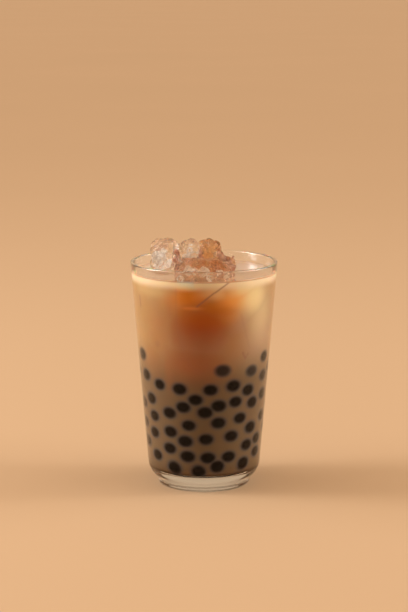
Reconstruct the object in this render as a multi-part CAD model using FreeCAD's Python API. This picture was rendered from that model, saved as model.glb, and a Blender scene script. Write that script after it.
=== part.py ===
"""Bubble tea in a tumbler: glass, milk tea, a bed of tapioca pearls and five blocks of ice.

Millimetres and degrees. +Z is up, and the origin is the middle of the foot of the glass.
-Y is the front. Every piece is a solid of its own, written to parts/NODE.step.
"""
import FreeCAD, Part
import math
import os

# Tumbler, outside
RIM_DIAMETER = 80.0
GLASS_HEIGHT = 123.0
SHOULDER_DIAMETER = 60.9      # where the straight wall meets the drawn-in heel
SHOULDER_HEIGHT = 8.0
SHOULDER_ROUND = 12.0
HEEL_DIAMETER = 50.8          # where the heel meets the short upright foot
HEEL_HEIGHT = 2.6
HEEL_ROUND = 2.5
FOOT_DIAMETER = 50.4
FOOT_ROUND = 0.9
PUNT_DIAMETER = 38.0          # shallow hollow under the foot
PUNT_DEPTH = 0.8

# Tumbler, inside
WALL_AT_RIM = 1.8
WALL_AT_FLOOR = 2.4
BASE_THICKNESS = 8.6
FLOOR_ROUND = 9.0
RIM_ROUND_SHARE = 0.48        # each edge of the rim takes this much of the wall, so the rim is round

# Drink
LEVEL_BELOW_RIM = 6.0

# Pearl bed
BED_HEIGHT = 56.0             # above the inside floor, at the front
BED_SIDE_RISE = 11.0          # how much higher the bed stands at the left and right walls
PEARL_DIAMETER = 8.3
PEARL_SWELL = 1.1             # half the height of the swells that the top pearls make
BED_GRID_STEP = 2.6           # spacing of the points that the top of the bed runs through

# Ice
ICE_TAPER = 0.12              # how much narrower a block is at its top
ICE_TO_WALL = 0.3
# node: size is width, depth, height; place is right, back and how far its middle is over the level;
# turns are about Z, Y and X; melt is the radius of its edges; each chip is a flat broken off:
# the way it faces in the block's own axes, and its distance from the block's middle
ICE_BLOCKS = {
    "ice_front": {
        "size": (31.0, 15.0, 25.0), "place": (0.3, -29.0, -1.3), "turns": (3.0, 0.0, -4.0), "melt": 1.2,
        "chips": [((0.66, 0.0, -0.75), 6.6), ((-0.8, -0.2, 0.6), 13.5), ((0.55, 0.1, 0.8), 13.6)],
    },
    "ice_left": {
        "size": (13.5, 14.5, 21.0), "place": (-20.6, -9.5, 8.0), "turns": (22.0, -5.0, 5.0), "melt": 1.8,
        "chips": [((-0.75, -0.2, 0.65), 7.6), ((0.6, 0.1, 0.8), 11.2)],
    },
    "ice_middle": {
        "size": (13.0, 14.0, 22.0), "place": (-8.2, -8.0, 7.8), "turns": (-12.0, 4.0, -5.0), "melt": 1.3,
        "chips": [((-0.6, 0.0, 0.8), 9.4), ((0.65, 0.2, 0.75), 9.6), ((0.1, -0.75, 0.66), 10.0)],
    },
    "ice_crown": {
        "size": (11.5, 12.0, 20.0), "place": (3.2, -9.5, 9.0), "turns": (34.0, -4.0, 6.0), "melt": 2.8,
        "chips": [((0.7, 0.0, 0.7), 8.2), ((-0.6, -0.1, 0.8), 9.0)],
    },
    "ice_low": {
        "size": (11.5, 13.0, 15.0), "place": (10.4, -9.5, 2.0), "turns": (10.0, 12.0, -10.0), "melt": 1.4,
        "chips": [((0.6, -0.3, 0.7), 8.2)],
    },
}

LEVEL = GLASS_HEIGHT - LEVEL_BELOW_RIM
RIM_RADIUS = RIM_DIAMETER / 2
SHOULDER_RADIUS = SHOULDER_DIAMETER / 2
CLEAR_OF_RIM = 2 * GLASS_HEIGHT   # tools that cut upwards reach this high
AXIS_POINT = FreeCAD.Vector(0, 0, 0)
UP = FreeCAD.Vector(0, 0, 1)


def outer_radius(height):
    """Radius of the straight outer wall at a height."""
    share = (height - SHOULDER_HEIGHT) / (GLASS_HEIGHT - SHOULDER_HEIGHT)
    return SHOULDER_RADIUS + share * (RIM_RADIUS - SHOULDER_RADIUS)


def inner_radius(height):
    """Radius of the inside wall at a height; the wall thins from floor to rim."""
    share = (height - BASE_THICKNESS) / (GLASS_HEIGHT - BASE_THICKNESS)
    return outer_radius(height) - WALL_AT_FLOOR - share * (WALL_AT_RIM - WALL_AT_FLOOR)


def turned(outline):
    """Solid of revolution about Z from (radius, height) corners."""
    corners = [FreeCAD.Vector(radius, 0, height) for radius, height in outline]
    face = Part.Face(Part.makePolygon(corners + corners[:1]))
    return face.revolve(AXIS_POINT, UP, 360)


def ring_edges(solid, radius, height):
    """The circular edges of a turned solid at one radius and height."""
    return [
        edge for edge in solid.Edges
        if isinstance(edge.Curve, Part.Circle)
        and abs(edge.Curve.Radius - radius) < 1e-4
        and abs(edge.Curve.Center.z - height) < 1e-4
    ]


def rounded(solid, radius, height, size):
    """The solid with its circular edge at a radius and height rounded."""
    return solid.makeFillet(size, ring_edges(solid, radius, height))


def room_inside(top, clearance=0.0):
    """The space inside the glass from its floor to a height, less a clearance at the wall."""
    floor_radius = inner_radius(BASE_THICKNESS) - clearance
    room = turned([
        (0, BASE_THICKNESS),
        (floor_radius, BASE_THICKNESS),
        (inner_radius(top) - clearance, top),
        (0, top),
    ])
    return rounded(room, floor_radius, BASE_THICKNESS, FLOOR_ROUND)


def make_glass():
    """Tumbler with a straight tapered wall, a drawn-in heel on a short foot, a thick base and a round rim."""
    body = turned([
        (0, 0),
        (FOOT_DIAMETER / 2, 0),
        (HEEL_DIAMETER / 2, HEEL_HEIGHT),
        (SHOULDER_RADIUS, SHOULDER_HEIGHT),
        (RIM_RADIUS, GLASS_HEIGHT),
        (0, GLASS_HEIGHT),
    ])
    body = rounded(body, SHOULDER_RADIUS, SHOULDER_HEIGHT, SHOULDER_ROUND)
    body = rounded(body, HEEL_DIAMETER / 2, HEEL_HEIGHT, HEEL_ROUND)
    body = rounded(body, FOOT_DIAMETER / 2, 0, FOOT_ROUND)
    glass = body.cut(room_inside(CLEAR_OF_RIM))
    rim_round = WALL_AT_RIM * RIM_ROUND_SHARE
    glass = rounded(glass, RIM_RADIUS, GLASS_HEIGHT, rim_round)
    glass = rounded(glass, inner_radius(GLASS_HEIGHT), GLASS_HEIGHT, rim_round)
    punt_radius = PUNT_DIAMETER / 2
    ball_radius = (punt_radius ** 2 + PUNT_DEPTH ** 2) / (2 * PUNT_DEPTH)
    ball = Part.makeSphere(ball_radius, FreeCAD.Vector(0, 0, PUNT_DEPTH - ball_radius))
    return glass.cut(ball)


def bed_top(across, back):
    """Height of the pearl bed: higher at the sides, with swells the size of the pearls."""
    side_rise = BED_SIDE_RISE * (across / inner_radius(BASE_THICKNESS + BED_HEIGHT)) ** 2
    wave = 2 * math.pi / (2 * PEARL_DIAMETER)
    swell = PEARL_SWELL * (math.cos(wave * (across + back)) + math.cos(wave * (across - 1.3 * back)))
    return BASE_THICKNESS + BED_HEIGHT + side_rise + swell / 2


def make_pearl_bed():
    """The heap of pearls, from the floor to its uneven top."""
    reach = RIM_RADIUS + BED_GRID_STEP
    count = 2 * math.ceil(reach / BED_GRID_STEP) + 1
    places = [-reach + 2 * reach * step / (count - 1) for step in range(count)]
    grid = [[FreeCAD.Vector(x, y, bed_top(x, y)) for y in places] for x in places]
    surface = Part.BSplineSurface()
    surface.interpolate(grid)
    above = surface.toShape().extrude(UP * GLASS_HEIGHT)
    return room_inside(LEVEL).cut(above)


def broken_off(facing, distance, reach):
    """What a chip takes away: all that lies past a plane at a distance from the block's middle."""
    slab = Part.makeBox(4 * reach, 4 * reach, reach, FreeCAD.Vector(-2 * reach, -2 * reach, distance))
    slab.Placement = FreeCAD.Placement(AXIS_POINT, FreeCAD.Rotation(UP, facing))
    return slab


def ice_block(size, place, turns, melt, chips):
    """A tray block, narrower at its top, melted round at its edges, then chipped and put in place."""
    width, depth, height = size
    outlines = []
    for level, narrowing in ((-height / 2, 1.0), (height / 2, 1 - ICE_TAPER)):
        x, y = width * narrowing / 2, depth * narrowing / 2
        corners = [FreeCAD.Vector(*corner, level) for corner in ((-x, -y), (x, -y), (x, y), (-x, y))]
        outlines.append(Part.makePolygon(corners + corners[:1]))
    block = Part.makeLoft(outlines, True, True)
    block = block.makeFillet(melt, block.Edges)
    for facing, distance in chips:
        block = block.cut(broken_off(FreeCAD.Vector(*facing), distance, max(size)))
    right, back, over_level = place
    middle = FreeCAD.Vector(right, back, LEVEL + over_level)
    block.Placement = FreeCAD.Placement(middle, FreeCAD.Rotation(*turns))
    return block


def make_ice():
    """The blocks, each kept off the wall and cut back where it meets an earlier one."""
    room = room_inside(CLEAR_OF_RIM, ICE_TO_WALL)
    blocks = {}
    for node, choices in ICE_BLOCKS.items():
        block = ice_block(**choices).common(room)
        for earlier in blocks.values():
            block = block.cut(earlier)
        blocks[node] = max(block.Solids, key=lambda solid: solid.Volume)
    return blocks


def make_parts():
    """Every node of the drink, by name."""
    ice = make_ice()
    bed = make_pearl_bed()
    for block in ice.values():
        bed = bed.cut(block)
    tea = room_inside(LEVEL).cut(bed)
    for block in ice.values():
        tea = tea.cut(block)
    return {"glass": make_glass(), "milk_tea": tea, "tapioca_pearls": bed, **ice}


os.makedirs("parts", exist_ok=True)
for node, shape in make_parts().items():
    solid = max(shape.Solids, key=lambda piece: piece.Volume)
    solid.exportStep(f"parts/{node}.step")
    box = solid.BoundBox
    print(f"{node}: {solid.Volume / 1000:.2f} cm3, x {box.XMin:.1f} to {box.XMax:.1f}, "
          f"y {box.YMin:.1f} to {box.YMax:.1f}, z {box.ZMin:.1f} to {box.ZMax:.1f}, "
          f"solids {len(shape.Solids)}, valid {solid.isValid()}")
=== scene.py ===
"""Bubble tea in a tumbler: the looks of the glass, the milk tea, the tapioca pearls and the ice.

Metres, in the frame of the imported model: +Z up, origin in the middle of the foot, -Y the front.
"""
import math
import random

import bmesh
import bpy
import numpy as np
from mathutils import Euler, Matrix, Vector, noise
from mathutils.bvhtree import BVHTree


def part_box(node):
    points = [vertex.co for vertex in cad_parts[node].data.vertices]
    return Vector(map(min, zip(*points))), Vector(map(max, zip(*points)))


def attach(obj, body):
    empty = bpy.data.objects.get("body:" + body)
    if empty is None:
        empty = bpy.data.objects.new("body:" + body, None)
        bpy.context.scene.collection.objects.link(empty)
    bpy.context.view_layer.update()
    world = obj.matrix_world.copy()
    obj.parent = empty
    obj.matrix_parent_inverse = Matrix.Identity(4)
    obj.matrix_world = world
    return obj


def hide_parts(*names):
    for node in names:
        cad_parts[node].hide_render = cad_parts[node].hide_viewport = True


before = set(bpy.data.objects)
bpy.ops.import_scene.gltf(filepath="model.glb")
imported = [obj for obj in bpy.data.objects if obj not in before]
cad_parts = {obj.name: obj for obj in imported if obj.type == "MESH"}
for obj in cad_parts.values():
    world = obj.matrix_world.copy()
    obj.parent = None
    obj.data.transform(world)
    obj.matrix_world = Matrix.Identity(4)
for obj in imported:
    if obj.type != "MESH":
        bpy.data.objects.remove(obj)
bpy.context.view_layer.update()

MM = 0.001

# --- Sizes of the tumbler that its box doesn't give -------------------------------------------
WALL_AT_RIM = 1.8 * MM
RIM_ROUND = 0.485 * WALL_AT_RIM  # each edge of the rim takes nearly half of the wall
WALL_AT_FLOOR = 2.4 * MM
SHOULDER_RADIUS = 30.45 * MM
SHOULDER_HEIGHT = 8.0 * MM
SHOULDER_ROUND = 12.0 * MM
HEEL_RADIUS = 25.4 * MM
HEEL_HEIGHT = 2.6 * MM
HEEL_ROUND = 2.5 * MM
FOOT_RADIUS = 25.2 * MM
FOOT_ROUND = 0.9 * MM
PUNT_RADIUS = 19.0 * MM
PUNT_DEPTH = 0.8 * MM
FLOOR_ROUND = 9.0 * MM
INTO_WALL = 0.10 * MM            # how far the drink reaches into the wall, so that no air shows
OFF_FLOOR = 0.12 * MM            # a thin gap under the drink, which keeps the thick base clear
CLEAR_SHARE = 0.35               # the part of the rounded corner that belongs to the clear base
GLASS_STEPS = 224                # faces round the tumbler
GLASS_CORNER_STEPS = 10          # and over each rounded corner of its outline
SAME_PLACE = 0.001 * MM          # points as close as this are one point
# The glass shines most over the drink, from a start to full over the level, and on its heel
SHINE_START = 0.2 * MM
SHINE_FULL = 2.5 * MM
HEEL_SHINE = 0.8
HEEL_SHINE_FULL = 5.0 * MM
HEEL_SHINE_END = 7.5 * MM

glass_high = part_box("glass")[1]
tea_low, tea_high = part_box("milk_tea")
bed_low, bed_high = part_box("tapioca_pearls")
RIM_RADIUS = glass_high.x
RIM_HEIGHT = glass_high.z
LEVEL = tea_high.z
FLOOR = bed_low.z

# --- Pearls -------------------------------------------------------------------------------------
PEARL_RADIUS = 4.15 * MM
PEARL_SPREAD = 0.25 * MM         # how much a pearl's radius strays
WALL_PEARLS = 70                 # most at the wall, round the sides and the back
WALL_ARC = (84, 276)             # degrees round from the front that they take
WALL_SPACING = 1.98 * PEARL_RADIUS
WALL_TRIES = 40                  # places tried for each
TOUCHING = 0.75                  # how many of them touch the wall; the others lie off it
LOOSE_SINK = (0.2, 0.9)          # by this much, in millimetres
WALL_LAYER = 3.2 * PEARL_RADIUS  # what the layer at the wall takes from the room inside
INNER_PEARLS = 150               # most behind that layer
INNER_SPACING = 1.9 * PEARL_RADIUS
INNER_TRIES = 12
OUT_OF_ROUND = (0.96, 1.0)
BED_FRONT = tea_low.z + 0.5 * (bed_high.z - tea_low.z)
BED_SIDE_RISE = 0.9 * (bed_high.z - BED_FRONT)
BED_SWELL = 1.2 * MM
CORE_STEPS = 48
CORE_ROUND = 3 * MM
# The pearls at the front of the wall: degrees to the right of the front, and millimetres up
FRONT_PEARLS = (
    (-70, 74.5), (67, 73.5), (17, 69.5), (48, 67.5), (-65, 63.5), (68, 63), (-45, 60), (28, 60.5),
    (-23, 59), (6, 59), (45, 57), (70, 52.5), (-59, 51), (-8, 53.5), (31, 51.5), (52, 49.5), (14, 50),
    (-20, 49), (-35, 45), (1, 46.5), (-56, 41.5), (37, 42), (14, 40.5), (-15, 39), (52, 35.5),
    (-58, 32), (-35, 34.5), (28, 32.5), (65, 28), (-75, 25.5), (2, 31.5), (-19, 30), (48, 26),
    (-37, 25), (65, 20.5), (-56, 19.5), (-17, 21.5), (26, 21), (4, 21), (45, 16.5), (-33, 15.5),
    (14, 16.5), (-6, 15), (-76, 47), (73, 40), (-77, 36),
)
# The ones that the drink veils: how far each lies off the wall, in millimetres
VEILED_PEARLS = {(17, 69.5): 0.9, (48, 67.5): 1.6, (68, 63): 0.8, (-70, 74.5): 0.6, (67, 73.5): 0.5}

# --- Ice ----------------------------------------------------------------------------------------
# node: which ice it is, rounds of melting, depth of its facets
ICE_NODES = {
    "ice_front": ("warm", 2, 0.90 * MM),
    "ice_left": ("clear", 2, 1.15 * MM),
    "ice_middle": ("clear", 1, 1.45 * MM),
    "ice_crown": ("amber", 1, 1.35 * MM),
    "ice_low": ("warm", 1, 1.20 * MM),
}
ICE_VOXEL = 0.45 * MM            # how fine a melted block is
ICE_TO_WALL = 0.3 * MM
FACET_WIDTH = 4.0 * MM
FACET_SHUFFLE = 7.3              # gives each facet a lean of its own
GROOVE_DEPTH = 0.6               # between facets, as a share of their depth
GROOVE_STEEPNESS = 3
WAVE_WIDTH = 8 * MM
WAVE_DEPTH = 0.4 * MM
SWELL = 0.30 * MM                # gives back what the rounding takes

# Chips strewn over the front of the drink: lengths in millimetres, shapes as shares of the radius
CHIPS = 150
CHIP_RADIUS = (0.5, 1.5)
CHIP_ACROSS = (-15, 16)
CHIP_BACK = (-35, -11)
CHIP_OVER_LEVEL = (-0.5, 5.0)
CHIP_SLOPE = 0.22                # how much higher they lie towards the middle
CHIP_SHAPE = (0.5, 1.2)
CHIP_KNOCKS = (0.75, 1.15)       # how far each corner is knocked in or out
# Chips that fill the gaps between the blocks: from and to, in millimetres, and how many
CHIP_HEAPS = [
    ((6, -12, 130.5), (15.5, -12, 121), 34),
    ((-15.2, -9, 121), (-14.4, -9, 131.5), 18),
    ((-2.4, -11, 123), (-1.4, -11, 132), 14),
]
HEAPED_RADIUS = (0.8, 2.0)
HEAPED_SHAPE = (1.0, 0.8, 1.1)
HEAP_STRAY = (0.7, 2.5, 0.7)


def outer_radius(height):
    """Radius of the straight outer wall at a height."""
    share = (height - SHOULDER_HEIGHT) / (RIM_HEIGHT - SHOULDER_HEIGHT)
    return SHOULDER_RADIUS + share * (RIM_RADIUS - SHOULDER_RADIUS)


def inner_radius(height):
    """Radius of the inside wall at a height; the wall thins from floor to rim."""
    share = (height - FLOOR) / (RIM_HEIGHT - FLOOR)
    return outer_radius(height) - WALL_AT_FLOOR - share * (WALL_AT_RIM - WALL_AT_FLOOR)


# --- Shared making ------------------------------------------------------------------------------
def mesh_from(bm, name):
    """The mesh of a bmesh that is done with."""
    mesh = bpy.data.meshes.new(name)
    bm.to_mesh(mesh)
    bm.free()
    return mesh


def put_in_scene(name, data):
    """An object in the scene for a mesh, a lamp or a camera."""
    thing = bpy.data.objects.new(name, data)
    bpy.context.scene.collection.objects.link(thing)
    return thing


def finished(bm, name, material, smooth=True):
    """Turns a bmesh into a piece with its material and slot, which rides on the body."""
    mesh = mesh_from(bm, name)
    for polygon in mesh.polygons:
        polygon.use_smooth = smooth
    mesh.materials.append(material)
    piece = put_in_scene(name, mesh)
    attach(piece, "root")
    return piece


def unit_ball(name, subdivisions):
    """A ball of radius 1 to copy."""
    bm = bmesh.new()
    bmesh.ops.create_icosphere(bm, subdivisions=subdivisions, radius=1.0)
    return mesh_from(bm, name)


def add_placed(whole, mesh, place, turn, shape):
    """Adds a mesh to a bmesh, shaped, turned and put in place, and clears the mesh away."""
    mesh.transform(Matrix.LocRotScale(place, turn, shape))
    whole.from_mesh(mesh)
    bpy.data.meshes.remove(mesh)


def joined(parts):
    """One bmesh from several."""
    whole = bmesh.new()
    for part in parts:
        mesh = mesh_from(part, "part")
        whole.from_mesh(mesh)
        bpy.data.meshes.remove(mesh)
    return whole


def round_corner(before, corner, after, radius, steps):
    """Points of the arc that rounds a corner of an outline."""
    before, corner, after = Vector(before), Vector(corner), Vector(after)
    way_in = (before - corner).normalized()
    way_out = (after - corner).normalized()
    half = way_in.angle(way_out) / 2
    middle = corner + (way_in + way_out).normalized() * radius / math.sin(half)
    start = corner + way_in * radius / math.tan(half) - middle
    end = corner + way_out * radius / math.tan(half) - middle
    sweep = math.pi - 2 * half
    side = 1 if start.cross(end) > 0 else -1
    turns = [Matrix.Rotation(side * sweep * step / steps, 2) for step in range(steps + 1)]
    return [middle + turn @ start for turn in turns]


def rounded_outline(corners, steps=8):
    """An outline from (radius, height, rounding) corners; the first and last stay as they are."""
    points = [Vector(corners[0][:2])]
    for before, corner, after in zip(corners, corners[1:], corners[2:]):
        if corner[2]:
            points += round_corner(before[:2], corner[:2], after[:2], corner[2], steps)
        else:
            points.append(Vector(corner[:2]))
    return points + [Vector(corners[-1][:2])]


def turned(outline, steps, slices=1):
    """Spins an outline of (radius, height) points about Z: one slice, copied all the way round."""
    slice_angle = 2 * math.pi / slices
    bm = bmesh.new()
    chain = [bm.verts.new((point[0], 0, point[1])) for point in outline]
    edges = [bm.edges.new(pair) for pair in zip(chain, chain[1:])]
    bmesh.ops.spin(
        bm, geom=chain + edges, axis=(0, 0, 1), cent=(0, 0, 0), angle=slice_angle,
        steps=steps // slices, use_merge=slices == 1,
    )
    if slices > 1:
        piece = bpy.data.meshes.new("slice")
        bm.to_mesh(piece)
        for _ in range(slices - 1):
            piece.transform(Matrix.Rotation(slice_angle, 4, "Z"))
            bm.from_mesh(piece)
        bpy.data.meshes.remove(piece)
    bmesh.ops.remove_doubles(bm, verts=bm.verts, dist=SAME_PLACE)
    bmesh.ops.recalc_face_normals(bm, faces=bm.faces)
    return bm


# --- Shader maths -------------------------------------------------------------------------------
class Wire:
    """A value in a material: a sum or a product adds its Math node."""

    def __init__(self, finish, socket):
        self.finish = finish
        self.socket = socket

    def math(self, operation, *values):
        return self.finish.add("ShaderNodeMath", {"operation": operation}, dict(enumerate(values)))

    def __add__(self, other):
        return self.math("ADD", self, other)

    def __mul__(self, other):
        return self.math("MULTIPLY", self, other)

    __radd__ = __add__
    __rmul__ = __mul__


class Finish:
    """A material under construction."""

    def __init__(self, name):
        self.material = bpy.data.materials.new(name)
        self.material.use_nodes = True
        self.tree = self.material.node_tree
        self.tree.nodes.clear()

    def add(self, kind, settings=None, sockets=None, out=0):
        """Adds a node: its settings first, then the values or links of its sockets."""
        node = self.tree.nodes.new(kind)
        for key, value in (settings or {}).items():
            setattr(node, key, value)
        for key, value in (sockets or {}).items():
            if isinstance(value, Wire):
                self.tree.links.new(value.socket, node.inputs[key])
            else:
                node.inputs[key].default_value = value
        return Wire(self, node.outputs[out]) if node.outputs else None

    def place(self):
        """Where a point lies on the object, in metres."""
        return self.add("ShaderNodeTexCoord", out="Object")

    def attribute(self, name):
        """A number that the piece's mesh carries."""
        return self.add("ShaderNodeAttribute", {"attribute_name": name}, out="Fac")

    def grain(self, size, detail=2.0, roughness=0.5, stretch=(1, 1, 1)):
        """Soft noise from 0 to 1 whose blotches are about a size across."""
        at = self.add("ShaderNodeMapping", sockets={"Vector": self.place(), "Scale": stretch})
        return self.add(
            "ShaderNodeTexNoise",
            sockets={"Vector": at, "Scale": 1 / size, "Detail": detail, "Roughness": roughness},
        )

    def blend(self, factor, first, second):
        """Mixes two colours."""
        return self.add(
            "ShaderNodeMix",
            {"data_type": "RGBA", "blend_type": "MIX"},
            {0: factor, 6: rgba(first), 7: rgba(second)},
            out=2,
        )

    def between(self, value, low, high, low_to=0.0, high_to=1.0):
        """Takes low..high to low_to..high_to, smoothly, and no further."""
        return self.add(
            "ShaderNodeMapRange",
            {"interpolation_type": "SMOOTHSTEP"},
            {0: value, 1: low, 2: high, 3: low_to, 4: high_to},
        )

    def bump(self, height, distance):
        """A normal from a relief."""
        return self.add(
            "ShaderNodeBump", sockets={"Height": height, "Distance": distance, "Strength": 1.0}
        )

    def surface(self, shader):
        """Ends the material."""
        self.add("ShaderNodeOutputMaterial", sockets={"Surface": shader})
        return self.material


def rgba(colour):
    """A colour socket's value from three numbers; a wire passes through."""
    return colour if isinstance(colour, Wire) else (*colour, 1.0)


def lets_lamps_through(finish, clear):
    """Clear stuff that casts no hard shadow, as thin bright glass does."""
    open_way = finish.add("ShaderNodeBsdfTransparent", sockets={"Color": (0.93, 0.93, 0.93, 1.0)})
    shadow = finish.add("ShaderNodeLightPath", out="Is Shadow Ray")
    return finish.add("ShaderNodeMixShader", sockets={0: shadow, 1: clear, 2: open_way})


# --- Materials ----------------------------------------------------------------------------------
def glass_finish():
    """Polished clear glass with the faintest waviness from its mould."""
    finish = Finish("clear_glass")
    waviness = finish.grain(9 * MM, detail=1.0)
    height = finish.add("ShaderNodeSeparateXYZ", sockets={"Vector": finish.place()}, out="Z")
    rim = finish.between(height, LEVEL + SHINE_START, LEVEL + SHINE_FULL)
    heel = finish.between(height, HEEL_SHINE_FULL, HEEL_SHINE_END, HEEL_SHINE, 0.0)
    clear = finish.add(
        "ShaderNodeBsdfPrincipled",
        sockets={
            "Base Color": (0.985, 0.992, 0.988, 1.0),
            "Roughness": 0.0,
            "IOR": 1.48,
            "Specular Tint": (0.30, 0.30, 0.30, 1.0),
            "Transmission Weight": 1.0,
            "Coat Weight": rim + heel,
            "Coat IOR": 1.9,
            "Normal": finish.bump(waviness, 0.02 * MM),
        },
    )
    return finish.surface(lets_lamps_through(finish, clear))


def tea_finish():
    """Cloudy milk tea: tan, brown and orange where ice lies near the wall with painted light and shade,
    dark at the pearls, with painted shade round them, along the ice's edges, towards the bed and at the
    foot.
    """
    finish = Finish("milk_tea")
    cloud = finish.grain(14 * MM, detail=3.0, stretch=(1, 1, 0.5))
    colour = finish.blend(finish.between(cloud, 0.3, 0.7), (0.49, 0.285, 0.120), (0.54, 0.325, 0.142))
    layers = [
        ("milk", (0.56, 0.37, 0.245)),
        # painted shade of the dark pearls, darker towards the bed
        ("bed_shade", (0.23, 0.140, 0.072)),
        # painted shade (brown, burnt) and painted light (amber, honey, glow) where ice lies near the
        # wall
        ("brown", (0.46, 0.160, 0.062)),
        ("amber", (0.62, 0.205, 0.014)),
        ("honey_light", (0.98, 0.42, 0.090)),
        ("burnt_shade", (0.46, 0.085, 0.008)),
        ("glow", (0.98, 0.80, 0.43)),
        ("pale", (0.98, 0.80, 0.54)),
        ("top", (0.55, 0.335, 0.205)),
        # painted shade along the edges of the ice at the wall
        ("crease_shade", (0.34, 0.155, 0.10)),
        # painted shade where the drink meets the floor of the glass
        ("foot", (0.07, 0.030, 0.014)),
        # painted bluish shade round each pearl
        ("halo_shade", (0.045, 0.060, 0.082)),
        ("pearl", (0.006, 0.003, 0.002)),
    ]
    for name, shade in layers:
        colour = finish.blend(finish.attribute(name), colour, shade)
    ripple = finish.grain(3 * MM)
    tea = finish.add(
        "ShaderNodeBsdfPrincipled",
        sockets={
            "Base Color": colour,
            "Roughness": finish.between(ripple, 0.3, 0.7, 0.20, 0.30),
            "IOR": 1.34,
            "Specular IOR Level": 0.0,
            "Coat Weight": finish.attribute("top"),
            "Coat Roughness": 0.12,
            "Coat IOR": 1.33,
            "Subsurface Weight": 0.5,
            "Subsurface Radius": (1.0, 0.45, 0.2),
            "Subsurface Scale": 3 * MM,
            "Normal": finish.bump(ripple, 0.05 * MM),
        },
    )
    return finish.surface(tea)


def pearl_finish():
    """Soft dark starch, near black with a brown cast, glossy when wet."""
    finish = Finish("tapioca")
    mottle = finish.grain(2.5 * MM, detail=3.0)
    colour = finish.blend(mottle, (0.006, 0.004, 0.003), (0.022, 0.013, 0.008))
    pearl = finish.add(
        "ShaderNodeBsdfPrincipled",
        sockets={
            "Base Color": colour,
            "Roughness": finish.between(mottle, 0.3, 0.7, 0.22, 0.38),
            "IOR": 1.4,
            "Normal": finish.bump(finish.grain(1.2 * MM), 0.03 * MM),
        },
    )
    return finish.surface(pearl)


def ice_finish(name, tint, deep_tint, cloudiness, clearness=1.0):
    """Melting ice: wavy, wet and tinted by the drink, partly a film of it and partly a painted
    reflection of it, clearer in some places than in others.
    """
    finish = Finish(name)
    waves = finish.grain(2.0 * MM, detail=3.0, roughness=0.6)
    cloud = finish.grain(4.5 * MM, detail=3.0)
    flats = finish.add(
        "ShaderNodeTexVoronoi", {"feature": "F1"}, {"Vector": finish.place(), "Scale": 1 / (2.6 * MM)}
    )
    clear = finish.add(
        "ShaderNodeBsdfPrincipled",
        sockets={
            "Base Color": finish.blend(finish.between(cloud, 0.38, 0.62), tint, deep_tint),
            "Roughness": finish.between(cloud, 0.5, 0.75, 0.0, cloudiness),
            "IOR": 1.31,
            "Transmission Weight": clearness,
            "Normal": finish.bump(waves + 0.7 * flats, 0.55 * MM),
        },
    )
    return finish.surface(lets_lamps_through(finish, clear))


def crack_and_highlight_finish():
    """Thin white planes of fracture inside the ice, some of them heaped into a painted highlight."""
    finish = Finish("ice_cracks_and_highlight")
    flakes = finish.grain(1.3 * MM, detail=3.0, roughness=0.7)
    crack = finish.add(
        "ShaderNodeBsdfPrincipled",
        sockets={
            "Base Color": finish.blend(flakes, (0.98, 0.86, 0.74), (0.98, 0.94, 0.90)),
            "Roughness": 0.3,
            "Alpha": finish.between(flakes, 0.38, 0.56, 0.0, 0.9),
        },
    )
    return finish.surface(crack)


# --- Glass --------------------------------------------------------------------------------------
def make_glass(material):
    """The tumbler, turned from one outline: punt, foot, heel, wall, rim, inside wall and floor."""
    outline = rounded_outline([
        (0, PUNT_DEPTH, 0),
        (PUNT_RADIUS * 0.5, PUNT_DEPTH * 0.75, 0),
        (PUNT_RADIUS * 0.8, PUNT_DEPTH * 0.36, 0),
        (PUNT_RADIUS, 0, 0),
        (FOOT_RADIUS, 0, FOOT_ROUND),
        (HEEL_RADIUS, HEEL_HEIGHT, HEEL_ROUND),
        (SHOULDER_RADIUS, SHOULDER_HEIGHT, SHOULDER_ROUND),
        (RIM_RADIUS, RIM_HEIGHT, RIM_ROUND),
        (inner_radius(RIM_HEIGHT), RIM_HEIGHT, RIM_ROUND),
        (inner_radius(FLOOR), FLOOR, FLOOR_ROUND),
        (0, FLOOR, 0),
    ], GLASS_CORNER_STEPS)
    glass = finished(turned(outline, GLASS_STEPS), "tumbler", material)
    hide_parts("glass")


# --- Ice ----------------------------------------------------------------------------------------
def melted(node, material, rounding, facet_depth):
    """A block of ice from its CAD solid, rounded by melting and dented by flat facets."""
    bm = bmesh.new()
    bm.from_mesh(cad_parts[node].data)
    bmesh.ops.remove_doubles(bm, verts=bm.verts, dist=SAME_PLACE)
    form = put_in_scene(node + "_form", mesh_from(bm, node + "_form"))
    remesh = form.modifiers.new("even_out", "REMESH")
    remesh.mode = "VOXEL"
    remesh.voxel_size = ICE_VOXEL
    depsgraph = bpy.context.evaluated_depsgraph_get()
    fine = bpy.data.meshes.new_from_object(form.evaluated_get(depsgraph))
    bpy.data.objects.remove(form)
    bm = bmesh.new()
    bm.from_mesh(fine)
    axes = {"use_axis_x": True, "use_axis_y": True, "use_axis_z": True}
    for _ in range(rounding):
        bmesh.ops.smooth_vert(bm, verts=bm.verts, factor=0.5, **axes)
    bm.normal_update()
    for vert in bm.verts:
        at = vert.co / FACET_WIDTH
        gaps, middles = noise.voronoi(at)
        lean = noise.noise_vector(middles[0] * FACET_SHUFFLE)
        groove = 1 - min(1.0, GROOVE_STEEPNESS * (gaps[1] - gaps[0]))
        facet = (at - middles[0]).dot(lean) - GROOVE_DEPTH * groove
        wave = noise.noise(vert.co / WAVE_WIDTH)
        vert.co += vert.normal * (WAVE_DEPTH * wave + facet_depth * facet + SWELL)
    bmesh.ops.smooth_vert(bm, verts=bm.verts, factor=0.5, **axes)
    for vert in bm.verts:
        keep_off_wall(vert)
    piece = finished(bm, "melted_" + node, material)
    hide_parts(node)
    return piece


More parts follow.
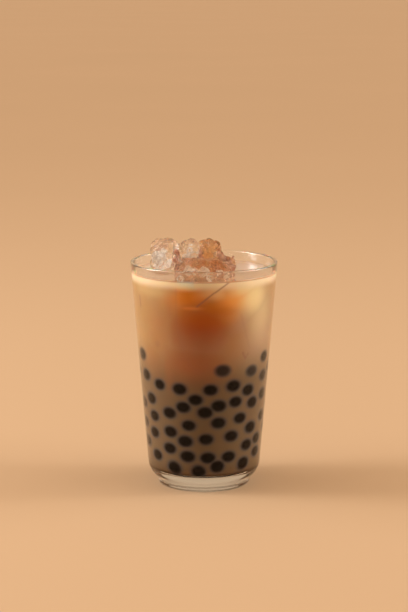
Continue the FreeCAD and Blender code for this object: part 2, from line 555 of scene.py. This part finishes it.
def keep_off_wall(vert):
    """Moves a point of the ice back inside the glass."""
    reach = inner_radius(vert.co.z) - ICE_TO_WALL
    across = math.hypot(vert.co.x, vert.co.y)
    if across > reach:
        vert.co.x *= reach / across
        vert.co.y *= reach / across


def add_chip(whole, shard, rng, place, turn, shape):
    """Adds a chip: a copy of the shard with its corners knocked in or out."""
    chip = shard.copy()
    for vert in chip.vertices:
        vert.co *= rng.uniform(*CHIP_KNOCKS)
    add_placed(whole, chip, place, turn, shape)


def any_turn(rng):
    """A turn of its own for a chip."""
    return Euler([rng.uniform(0, math.pi) for _ in range(3)])


def make_crushed_ice(rng, material):
    """Small sharp chips between the blocks, most of them strewn over the front."""
    shard = unit_ball("shard", 1)
    whole = bmesh.new()
    for _ in range(CHIPS):
        size = rng.uniform(*CHIP_RADIUS) * MM
        across = rng.uniform(*CHIP_ACROSS) * MM
        back = rng.uniform(*CHIP_BACK) * MM
        height = LEVEL + rng.uniform(*CHIP_OVER_LEVEL) * MM + CHIP_SLOPE * (back - CHIP_BACK[0] * MM)
        turn = any_turn(rng)
        shape = [size * rng.uniform(*CHIP_SHAPE) for _ in range(3)]
        add_chip(whole, shard, rng, Vector((across, back, height)), turn, shape)
    for start, end, count in CHIP_HEAPS:
        for _ in range(count):
            size = rng.uniform(*HEAPED_RADIUS) * MM
            stray = Vector([rng.uniform(-most, most) for most in HEAP_STRAY])
            place = Vector(start).lerp(Vector(end), rng.random()) + stray
            turn = any_turn(rng)
            add_chip(whole, shard, rng, place * MM, turn, [size * share for share in HEAPED_SHAPE])
    bpy.data.meshes.remove(shard)
    for vert in whole.verts:
        keep_off_wall(vert)
    finished(whole, "crushed_ice", material, smooth=False)


# Fractures: right, back and up in millimetres, size, turns about X, Y and Z. The sheets 22 to 26 mm
# left of the middle heap at the front left of the left block: partly frost, partly a painted highlight
CRACKS_AND_HIGHLIGHT = [
    ((-25.5, -14.5, 126.0), 6.0, (80, 10, 20)), ((-22.0, -12.0, 129.0), 5.0, (70, -40, 10)),
    ((-20.0, -9.0, 123.0), 7.0, (85, 30, -30)), ((-9.0, -12.0, 126.0), 7.0, (88, 60, 10)),
    ((-7.0, -8.0, 129.5), 6.0, (60, 75, 0)), ((-4.0, -9.0, 124.0), 7.0, (90, 80, 20)),
    ((-11.0, -6.0, 122.0), 6.0, (90, -50, 60)), ((3.5, -10.0, 121.5), 6.0, (75, 20, 15)),
    ((5.5, -8.0, 128.0), 4.5, (85, -70, 20)), ((11.0, -10.0, 121.0), 5.0, (80, 45, 0)),
    ((-8.0, -30.0, 122.0), 6.0, (75, 15, 5)), ((0.0, -28.0, 121.0), 7.0, (85, -10, 0)),
    ((8.0, -30.0, 121.5), 5.0, (80, 25, -10)), ((13.0, -29.0, 119.5), 5.0, (85, 60, 10)),
    ((-24.5, -13.5, 122.0), 6.5, (75, 5, -15)), ((-22.5, -14.0, 127.0), 5.5, (80, -15, 25)),
    ((-25.5, -13.0, 127.5), 6.0, (88, 0, 5)), ((-24.5, -15.0, 126.5), 5.5, (82, 12, -8)),
    ((-25.0, -11.0, 127.0), 6.0, (80, -8, 12)), ((-9.5, -13.0, 124.0), 7.0, (88, 15, 0)),
    ((-12.0, -34.0, 118.5), 5.0, (85, 10, 10)), ((3.0, -35.0, 119.0), 4.5, (80, -20, 15)),
    ((11.5, -33.0, 120.5), 5.0, (75, 30, 0)), ((-5.0, -33.0, 122.5), 5.0, (70, -25, 10)),
]


CRACK_CELLS = 12                 # along each side of a sheet
CRACK_THICKNESS = 0.06 * MM
CRUMPLE_WIDTH = 2.2 * MM
CRUMPLE_DEPTH = 0.6 * MM
CRACK_REACH = 0.8                # where the corners of a sheet are drawn in to, as a share of its half
CRACK_RAGGEDNESS = 0.12


def turn_of(angles):
    """The turn about X, Y and Z, in degrees."""
    return Euler([math.radians(angle) for angle in angles]).to_matrix()


def make_cracks_and_highlight(material):
    """Crumpled sheets of fracture inside the blocks, some of them heaped into a painted highlight."""
    sheets = []
    for place, size, turns in CRACKS_AND_HIGHLIGHT:
        half = size * MM / 2
        sheet = bmesh.new()
        bmesh.ops.create_grid(sheet, x_segments=CRACK_CELLS, y_segments=CRACK_CELLS, size=half)
        for vert in sheet.verts:
            at = (vert.co + Vector(place) * MM) / CRUMPLE_WIDTH
            vert.co.z += CRUMPLE_DEPTH * noise.noise(at)
            reach = math.hypot(vert.co.x, vert.co.y) / half
            if reach > CRACK_REACH:
                vert.co.xy *= (CRACK_REACH + CRACK_RAGGEDNESS * noise.noise(at * 2)) / reach
        bmesh.ops.solidify(sheet, geom=sheet.faces[:], thickness=CRACK_THICKNESS)
        bmesh.ops.recalc_face_normals(sheet, faces=sheet.faces)
        bmesh.ops.rotate(sheet, verts=sheet.verts, cent=(0, 0, 0), matrix=turn_of(turns))
        bmesh.ops.translate(sheet, verts=sheet.verts, vec=Vector(place) * MM)
        sheets.append(sheet)
    finished(joined(sheets), "ice_fractures_and_highlight", material)


# Blocks under the level, in millimetres: width, depth and height; right, back and up; turns about
# X, Y and Z; width of the melted edges
SUNK_BLOCKS = [
    ((22, 20, 22), (-1, -19, 86), (12, 45, 4), 2.4),
    ((19, 17, 20), (-20, -16, 94), (25, 20, 38), 2.0),
    ((18, 20, 19), (20, -15, 92), (-20, 28, -34), 2.0),
    ((20, 21, 20), (2, 16, 98), (10, 24, 20), 2.2),
    ((20, 18, 22), (-17, 14, 90), (30, -18, 12), 2.2),
    ((20, 18, 20), (22, 13, 96), (-25, 15, 50), 2.2),
]


def ice_block(size, place, turns, melt):
    """A whole block under the level: beveled, turned, put in place and kept off the wall."""
    bm = bmesh.new()
    bmesh.ops.create_cube(bm, size=1.0)
    bmesh.ops.scale(bm, vec=size, verts=bm.verts)
    bmesh.ops.bevel(
        bm, geom=bm.edges[:], offset=melt, segments=3, profile=0.5, affect="EDGES", material=-1,
        offset_type="OFFSET",
    )
    bmesh.ops.subdivide_edges(bm, edges=bm.edges[:], cuts=2, use_grid_fill=True)
    bmesh.ops.rotate(bm, verts=bm.verts, cent=(0, 0, 0), matrix=turn_of(turns))
    bmesh.ops.translate(bm, verts=bm.verts, vec=place)
    for vert in bm.verts:
        keep_off_wall(vert)
    return bm


def make_sunk_ice(material):
    """The blocks that hang under the level, hidden in the drink; what shows of them at the wall is
    painted on the drink as light and shade.
    """
    blocks = [
        ice_block(Vector(size) * MM, Vector(place) * MM, turns, melt * MM)
        for size, place, turns, melt in SUNK_BLOCKS
    ]
    finished(joined(blocks), "sunk_ice", material)


# --- Pearls -------------------------------------------------------------------------------------
def bed_top(across, back):
    """Height of the bed: higher at the left and right walls, with swells as large as pearls."""
    rise = BED_SIDE_RISE * (across / inner_radius(BED_FRONT)) ** 2
    wave = math.pi / (2 * PEARL_RADIUS)
    return BED_FRONT + rise + BED_SWELL * math.cos(wave * (across + back))


def scattered(draw, chosen, count, spacing, tries):
    """Adds places, each the one farthest from the rest out of a few drawn at random."""
    for _ in range(count):
        best, best_gap = None, spacing
        for _ in range(tries):
            place = draw()
            gap = min(((place - other).length for other in chosen), default=1.0)
            if gap > best_gap:
                best, best_gap = place, gap
        if best is not None:
            chosen.append(best)
    return chosen


def pearl_at_wall(degrees, height, sink):
    """Middle of a pearl that lies against the inside of the glass, or a sink away from it."""
    angle = math.radians(degrees)
    away = PEARL_RADIUS + PEARL_SPREAD
    height = max(height, FLOOR + away)
    under = FLOOR + FLOOR_ROUND - height
    if under > 0:
        corner = inner_radius(FLOOR + FLOOR_ROUND) - FLOOR_ROUND
        radius = corner + math.sqrt((FLOOR_ROUND - away) ** 2 - under ** 2)
    else:
        radius = inner_radius(height) - away
    radius -= sink
    return Vector((math.sin(angle) * radius, -math.cos(angle) * radius, height))


def lay_pearls(rng):
    """Middles of the pearls: one layer at the wall and a looser heap behind and on top."""
    front = [
        pearl_at_wall(degrees, height * MM, VEILED_PEARLS.get((degrees, height), 0.0) * MM)
        for degrees, height in FRONT_PEARLS
    ]

    def at_wall():
        degrees = rng.uniform(*WALL_ARC)
        angle = math.radians(degrees)
        wall = inner_radius(BED_FRONT)
        highest = bed_top(math.sin(angle) * wall, -math.cos(angle) * wall) - PEARL_RADIUS
        height = rng.uniform(FLOOR, highest)
        sink = 0.0 if rng.random() < TOUCHING else rng.uniform(*LOOSE_SINK) * MM
        return pearl_at_wall(degrees, height, sink)

    def inside():
        angle = rng.uniform(0, 2 * math.pi)
        height = rng.uniform(FLOOR + PEARL_RADIUS, bed_high.z)
        reach = inner_radius(height) - WALL_LAYER
        radius = reach * math.sqrt(rng.random())
        across, back = radius * math.sin(angle), -radius * math.cos(angle)
        height = min(height, bed_top(across, back) - PEARL_RADIUS)
        return Vector((across, back, height))

    wall = scattered(at_wall, front, WALL_PEARLS, WALL_SPACING, WALL_TRIES)
    both = scattered(inside, list(wall), INNER_PEARLS, INNER_SPACING, INNER_TRIES)
    return wall, both[len(wall):]


def make_pearls(wall, inner, rng, material):
    """The pearls, each a ball of its own size, a little out of round; gives the ones at the wall."""
    ball = unit_ball("ball", 2)
    whole = bmesh.new()
    sizes = []
    for middle in wall + inner:
        radius = PEARL_RADIUS + rng.uniform(-1, 1) * PEARL_SPREAD
        sizes.append((middle, radius))
        squeeze = [radius * rng.uniform(*OUT_OF_ROUND) for _ in range(3)]
        turn = Euler((radius * 9e4, 0, radius * 5e4))   # each its own, because each size is
        add_placed(whole, ball.copy(), middle, turn, squeeze)
    bpy.data.meshes.remove(ball)
    pearls = finished(whole, "pearls", material)
    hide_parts("tapioca_pearls")
    return sizes[:len(wall)]


def make_core(material):
    """What the bed holds inside its layer of pearls."""
    reach = inner_radius(FLOOR) - WALL_LAYER
    outline = rounded_outline([
        (0, FLOOR + 2 * PEARL_RADIUS, 0),
        (reach, FLOOR + 2 * PEARL_RADIUS, CORE_ROUND),
        (reach + 3 * MM, BED_FRONT - 2.5 * PEARL_RADIUS, CORE_ROUND),
        (0, BED_FRONT - 2.2 * PEARL_RADIUS, 0),
    ])
    finished(turned(outline, CORE_STEPS), "pearl_core", material)


# --- Tea ----------------------------------------------------------------------------------------
TEA_STEPS = 396                  # faces round the drink
TEA_SLICES = 12                  # the same slice, so many times
CORNER_ROWS = 16
SIDE_ROWS = 186
TOP_ROWS = 44
LIP = 0.7 * MM                   # how far the tea creeps up the wall
LIP_FADE = 1.1 * MM              # and how far from the wall it starts to
WALL_EDGE = 0.3 * MM             # what lies closer to the wall or the level than this is its edge

# How the colours lie on the drink
PATCH_FADE, PATCH_FLATNESS = 0.7, 1.3
CREASE_WALL = 36                 # radius, in millimetres, of the wall where the creases lie
PEARL_SHOW = 2.9 * MM            # half the width of a pearl as it shows through the drink
PEARL_WIDENING = 0.25            # how much wider than tall it shows
PEARL_EDGE = 0.97
PEARL_SOFT, SOFT_BY_SINK = 0.28, 0.10
FADE_BY_SINK = 0.2               # how much paler a pearl is for each millimetre off the wall
# A ring of painted bluish shade round each pearl: its strength, where it starts and where it ends, as
# shares of half the width that a pearl shows
HALO_SHADE, HALO_SHADE_START, HALO_SHADE_END = 0.6, 0.9, 1.65
# Painted shade of the dark pearls, darker towards the bed:
BED_SHADE_START, BED_SHADE_FULL = 15 * MM, 10 * MM      # over and under the front of the bed
PALE, PALE_START, PALE_FULL = 0.92, 5.6 * MM, 0.9 * MM      # under the level
# Painted shade in a dark line where the drink meets the floor of the glass:
FOOT_SHADE, FOOT_SHADE_FULL, FOOT_SHADE_END = 0.75, 1.4 * MM, 2.6 * MM        # over the floor


def tea_outline():
    """Outline of the drink, close-set so that its colours are sharp."""
    side_low = FLOOR + FLOOR_ROUND
    floor_radius = inner_radius(FLOOR)
    corner = round_corner(
        (0, FLOOR), (floor_radius, FLOOR), (inner_radius(side_low * 2), side_low * 2),
        FLOOR_ROUND, CORNER_ROWS,
    )
    outline = [Vector((0, FLOOR + OFF_FLOOR)), Vector((floor_radius / 2, FLOOR + OFF_FLOOR))]
    for number, point in enumerate(corner):
        share = number / (len(corner) - 1)
        turn = share * math.pi / 2
        proud = INTO_WALL if share > CLEAR_SHARE else -OFF_FLOOR
        outline.append(point + proud * Vector((math.sin(turn), -math.cos(turn))))
    start = outline[-1].y
    for row in range(1, SIDE_ROWS + 1):
        height = start + (LEVEL + LIP - start) * row / SIDE_ROWS
        outline.append(Vector((inner_radius(height) + INTO_WALL, height)))
    wall = inner_radius(LEVEL)
    for row in range(1, TOP_ROWS + 1):
        radius = wall * (1 - row / TOP_ROWS)
        creep = LIP * math.exp(-(wall - radius) / LIP_FADE)
        outline.append(Vector((radius, LEVEL + creep)))
    return outline


def blocks_tree(pieces):
    """A search tree over the blocks of ice that stand out of the drink."""
    points, faces = [], []
    for piece in pieces:
        first = len(points)
        points += [vert.co.copy() for vert in piece.data.vertices]
        faces += [[first + index for index in polygon.vertices] for polygon in piece.data.polygons]
    return BVHTree.FromPolygons(points, faces)


def sink_under_ice(mesh, tree):
    """Lowers the tea's top where a block stands in it, so that the block shows down to its foot."""
    hair, by_wall = 0.01 * MM, 0.5 * MM
    for vert in mesh.vertices:
        across = math.hypot(vert.co.x, vert.co.y)
        if vert.co.z < LEVEL - hair or across > inner_radius(LEVEL) - by_wall:
            continue
        above = tree.ray_cast(vert.co, Vector((0, 0, 1)))
        below = tree.ray_cast(vert.co, Vector((0, 0, -1)))
        inside = above[1] is not None and above[1].z > 0 and below[1] is not None and below[1].z < 0
        if inside:
            vert.co.z = below[0].z + INTO_WALL


def add_numbers(mesh, name, values):
    """Stores a number for each vertex."""
    attribute = mesh.attributes.new(name, "FLOAT", "POINT")
    attribute.data.foreach_set("value", np.asarray(values, dtype=np.float32))


def smooth_step(value, low, high):
    """0 below low, 1 above high, and smooth between."""
    share = np.clip((value - low) / (high - low), 0, 1)
    return share * share * (3 - 2 * share)


# Soft patches on the side of the drink: degrees right of the front, millimetres up, half width and
# half height in millimetres, strength. Where ice lies near the wall they are partly the thinner drink
# over it and partly painted light and shade: amber, honey and glow paint the light through the ice,
# brown and burnt the shade round it. The milk patches are paler.
PATCHES = {
    "milk": [
        (35, 96, 8, 8, 0.6), (-2, 84, 12, 7, 0.5), (44, 40, 12, 14, 1.0), (-14, 30, 9, 6, 0.3),
        (56, 88, 13, 26, 0.7), (140, 95, 12, 24, 0.5), (245, 90, 12, 26, 0.5),
    ],
    "brown": [
        (-3, 92, 15, 17, 1.0), (-8, 74, 16, 10, 0.9), (20, 84, 9, 12, 0.45), (-32, 72, 4, 11, 0.55),
        (-27, 103, 5, 9, 0.5), (-20, 90, 7, 13, 0.75), (-36, 90, 9, 16, 0.42), (-50, 73, 9, 8, 0.35),
        (112, 94, 11, 16, 0.9), (168, 90, 14, 18, 1.0), (222, 96, 10, 14, 0.9), (262, 88, 7, 12, 0.6),
    ],
    "amber": [
        (-13, 109, 7.5, 5.2, 1.0), (-3, 110, 6, 3.6, 0.75), (9, 103, 9, 5.0, 0.95),
        (-14, 101, 6, 5, 0.55), (0, 98, 11, 4.5, 0.8), (-5, 105, 10, 3, 0.4), (115, 103, 7, 6, 0.8),
        (165, 106, 9, 5, 0.9), (224, 104, 6, 6, 0.8),
    ],
    "honey_light": [
        (7, 111, 5, 3.2, 0.3), (-3, 109.5, 5, 3, 0.3), (-24, 107, 7, 5, 0.25), (15, 109.8, 5, 3.6, 0.6),
        (26, 108, 8.5, 6.0, 0.85), (-14, 115, 8, 2.4, 0.45), (-10, 103.2, 5, 0.9, 0.6),
        (23, 101.5, 6, 6, 0.4), (104, 110, 6, 4, 0.6), (176, 111, 7, 4, 0.7), (232, 110, 6, 4, 0.6),
    ],
    "burnt_shade": [
        (0, 95, 11, 6.5, 0.66), (-1, 93.5, 6, 4, 0.7), (-11, 99, 6, 5, 0.35), (9, 99.5, 8, 4, 0.4),
        (168, 98, 8, 5, 0.7),
    ],
    "glow": [
        (8, 111.5, 6, 3.0, 0.42), (45, 107.5, 8, 8, 0.8), (36, 113, 9, 4.2, 0.75),
        (54, 99, 7, 11, 0.35), (-48, 112, 12, 4, 0.25), (190, 108, 5, 5, 0.6),
    ],
}
# Painted shade in fine lines where an edge of ice meets the wall: degrees right of the front and
# millimetres up for each point, then half width in millimetres and strength
CREASES = [
    ([(22, 118), (8, 111.6), (-6, 104.3)], 0.42, 0.75),
    ([(-23, 113), (-23.5, 94)], 0.5, 0.16),
    ([(-24, 94), (-18, 80), (-13, 72.5), (-6, 69), (-1, 68), (4, 69)], 0.8, 0.12),
    ([(32, 99), (38, 88), (43, 80)], 0.7, 0.12),
    ([(-65, 106.5), (-64.5, 101)], 0.55, 0.7),
    ([(36, 78), (39, 74.5)], 0.6, 0.6),
    ([(39, 74.5), (42, 77)], 0.5, 0.45),
    ([(-47, 82.6), (-45, 84), (-42, 83.4), (-42, 81.4), (-45, 80.4), (-47, 82.6)], 0.35, 0.3),
    ([(-44.5, 82.2), (-44, 82)], 0.5, 0.6),
    ([(104, 112), (118, 100), (122, 90)], 0.45, 0.4),
    ([(150, 114), (172, 104)], 0.45, 0.6),
    ([(212, 108), (228, 99), (232, 90)], 0.45, 0.4),
]


def turned_from(angles, degrees):
    """Degrees from a place round the wall, the short way."""
    return (angles - degrees + 180) % 360 - 180


def line_gap(across, up, start, end):
    """Distance from points of the unrolled wall to a short line on it."""
    run, rise = end[0] - start[0], end[1] - start[1]
    share = ((across - start[0]) * run + (up - start[1]) * rise) / (run * run + rise * rise)
    share = np.clip(share, 0, 1)
    return np.hypot(across - start[0] - share * run, up - start[1] - share * rise)


def patch_mask(patches, angles, up, wall):
    """How strongly a set of patches colours each point."""
    mask = np.zeros(len(up))
    for degrees, height, wide, high, strength in patches:
        across = np.radians(turned_from(angles, degrees)) * wall
        reach = (across / wide) ** 2 + ((up - height) / high) ** 2
        mask = np.maximum(mask, strength * np.exp(-PATCH_FADE * reach ** PATCH_FLATNESS))
    return mask


def crease_shade_mask(angles, up, wall):
    """How strongly the painted shade of the creases colours each point."""
    mask = np.zeros(len(up))
    for line, width, strength in CREASES:
        for start, end in zip(line, line[1:]):
            across = np.radians(turned_from(angles, start[0])) * wall
            end_across = math.radians(end[0] - start[0]) * CREASE_WALL
            gap = line_gap(across, up, (0, start[1]), (end_across, end[1]))
            mask = np.maximum(mask, strength * np.exp(-(gap / width) ** 2))
    return mask


def pearl_masks(points, side, pearls):
    """How dark the pearls behind the wall make each point, and how much painted bluish shade shows
    round them.
    """
    dark = np.zeros(len(points))
    halo_shade = np.zeros(len(points))
    for middle, radius in pearls:
        away = points - np.array(middle)
        outward = Vector((middle.x, middle.y)).normalized()
        sideways = away @ np.array((-outward.y, outward.x, 0))
        far = (away ** 2).sum(axis=1)
        nearest = far[side].min()
        spread = np.sqrt(np.maximum(far - PEARL_WIDENING * sideways ** 2 - nearest, 0)) / PEARL_SHOW
        spread *= PEARL_RADIUS / radius
        sink = max((math.sqrt(nearest) - PEARL_RADIUS - 1.2 * PEARL_SPREAD) / MM, 0.0)
        soft = PEARL_SOFT + SOFT_BY_SINK * sink
        near = 1 - smooth_step(spread, PEARL_EDGE - soft, PEARL_EDGE + soft)
        dark = np.maximum(dark, near * math.exp(-FADE_BY_SINK * sink))
        halo_shade = np.maximum(halo_shade, HALO_SHADE * (1 - smooth_step(spread, HALO_SHADE_START, HALO_SHADE_END)))
    return dark, halo_shade


def colour_tea(mesh, pearls):
    """Marks where pearls, ice and the level change the tea's colour, much of it painted light and
    shade.
    """
    points = np.empty(len(mesh.vertices) * 3)
    mesh.vertices.foreach_get("co", points)
    points = points.reshape(-1, 3)
    heights = points[:, 2]
    radii = np.hypot(points[:, 0], points[:, 1])
    angles = np.degrees(np.arctan2(points[:, 0], -points[:, 1]))
    up = heights / MM
    wall = radii / MM
    top = (radii < inner_radius(heights) - WALL_EDGE) & (heights > FLOOR + 20 * MM)
    side = ~top & (heights < LEVEL - WALL_EDGE)

    # painted light and shade where ice lies near the wall, and paler milk patches
    for name, patches in PATCHES.items():
        add_numbers(mesh, name, patch_mask(patches, angles, up, wall) * side)
    # painted shade along the edges of the ice at the wall
    add_numbers(mesh, "crease_shade", crease_shade_mask(angles, up, wall) * side)
    dark, halo_shade = pearl_masks(points, side, pearls)
    add_numbers(mesh, "pearl", dark * side)
    # painted bluish shade round each pearl
    add_numbers(mesh, "halo_shade", halo_shade * side)
    # painted shade of the dark pearls, darker towards the bed
    add_numbers(mesh, "bed_shade", smooth_step(-heights, -BED_FRONT - BED_SHADE_START, -BED_FRONT + BED_SHADE_FULL))
    add_numbers(mesh, "pale", PALE * smooth_step(heights, LEVEL - PALE_START, LEVEL - PALE_FULL))
    add_numbers(mesh, "top", top | (heights > LEVEL - 0.2 * MM))
    # painted shade where the drink meets the floor of the glass
    add_numbers(mesh, "foot", FOOT_SHADE * (1 - smooth_step(heights, FLOOR + FOOT_SHADE_FULL, FLOOR + FOOT_SHADE_END)))


def make_tea(pearls, ice, material):
    """The drink, from the floor to its level."""
    tea = finished(turned(tea_outline(), TEA_STEPS, TEA_SLICES), "tea", material)
    sink_under_ice(tea.data, blocks_tree(ice))
    colour_tea(tea.data, pearls)
    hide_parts("milk_tea")


# --- Studio -------------------------------------------------------------------------------------
CAMERA_PLACE = (0, -0.955, 0.276)
CAMERA_DOWN = 10.57              # degrees below level
CAMERA_LENS = 105
CAMERA_FRAME = 36
LAMPS_AIM = (0, 0, 0.06)
WASH_SOFTNESS = 60               # degrees of sky that a wash of light comes from
FLOOR_REACH = 30.0


def make_studio():
    """Pale floor, soft lamps and the camera."""
    floor = Finish("pale_floor")
    tone = floor.grain(0.6)
    colour = floor.blend(tone, (0.675, 0.455, 0.27), (0.705, 0.475, 0.285))
    matte = floor.add("ShaderNodeBsdfPrincipled", sockets={"Base Color": colour, "Roughness": 0.9})
    bm = bmesh.new()
    bmesh.ops.create_circle(bm, cap_ends=True, segments=64, radius=FLOOR_REACH)
    ground = put_in_scene("floor", mesh_from(bm, "floor"))
    ground.data.materials.append(floor.surface(matte))

    soft_sun("left_wash", (-1.0, 0.05, 0.62), 1.15, (1.0, 0.97, 0.93))
    soft_sun("right_wash", (1.0, 0.0, 0.50), 1.36, (1.0, 0.96, 0.90))
    lamp("left_softbox", (-1.1, 0.02, 0.66), 0.34, 1.1, 6.5, (1.0, 0.98, 0.95))
    lamp("right_softbox", (1.05, 0.05, 0.62), 0.20, 0.6, 2.2, (1.0, 0.98, 0.95))

    world = bpy.data.worlds.new("studio")
    world.use_nodes = True
    world.node_tree.nodes["Background"].inputs["Color"].default_value = (0.62, 0.44, 0.28, 1)
    world.node_tree.nodes["Background"].inputs["Strength"].default_value = 0.85
    bpy.context.scene.world = world
    bpy.context.scene.view_settings.view_transform = "Standard"

    camera = put_in_scene("camera", bpy.data.cameras.new("camera"))
    camera.data.lens = CAMERA_LENS
    camera.data.sensor_width = CAMERA_FRAME
    camera.location = CAMERA_PLACE
    camera.rotation_euler = (math.radians(90 - CAMERA_DOWN), 0, 0)
    bpy.context.scene.camera = camera


def put_lamp(name, kind, place, power, colour):
    """A lamp at a place, facing the middle of the drink."""
    data = bpy.data.lights.new(name, kind)
    data.energy = power
    data.color = colour
    light = put_in_scene(name, data)
    light.location = place
    light.rotation_euler = (Vector(place) - Vector(LAMPS_AIM)).to_track_quat("Z", "Y").to_euler()
    return data


def soft_sun(name, place, power, colour):
    """Very soft light from one side, even over the whole floor."""
    put_lamp(name, "SUN", place, power, colour).angle = math.radians(WASH_SOFTNESS)


def lamp(name, place, width, height, power, colour):
    """A soft lamp with a rectangular face."""
    data = put_lamp(name, "AREA", place, power, colour)
    data.shape = "RECTANGLE"
    data.size = width
    data.size_y = height


SEED = 7                         # for the draws and the lean of the ice's facets, the same each run


def main():
    """Makes every piece."""
    rng = random.Random(SEED)
    noise.seed_set(SEED)
    make_glass(glass_finish())
    ices = {
        # the tints are partly the drink's film on the ice and partly a painted reflection of the drink
        "clear": ice_finish("clear_ice", (0.99, 0.97, 0.95), (0.97, 0.90, 0.83), 0.10),
        "warm": ice_finish("warm_ice", (0.97, 0.84, 0.70), (0.88, 0.62, 0.40), 0.12),
        "crushed": ice_finish("crushed_ice", (0.94, 0.70, 0.53), (0.68, 0.38, 0.25), 0.20, 0.75),
        "amber": ice_finish("amber_ice", (0.93, 0.72, 0.47), (0.80, 0.50, 0.27), 0.16),
    }
    ice = [melted(node, ices[kind], *looks) for node, (kind, *looks) in ICE_NODES.items()]
    make_sunk_ice(ices["clear"])
    make_crushed_ice(rng, ices["crushed"])
    make_cracks_and_highlight(crack_and_highlight_finish())
    wall, inner = lay_pearls(rng)
    dark = pearl_finish()
    pearls = make_pearls(wall, inner, rng, dark)
    make_core(dark)
    make_tea(pearls, ice, tea_finish())
    make_studio()


main()
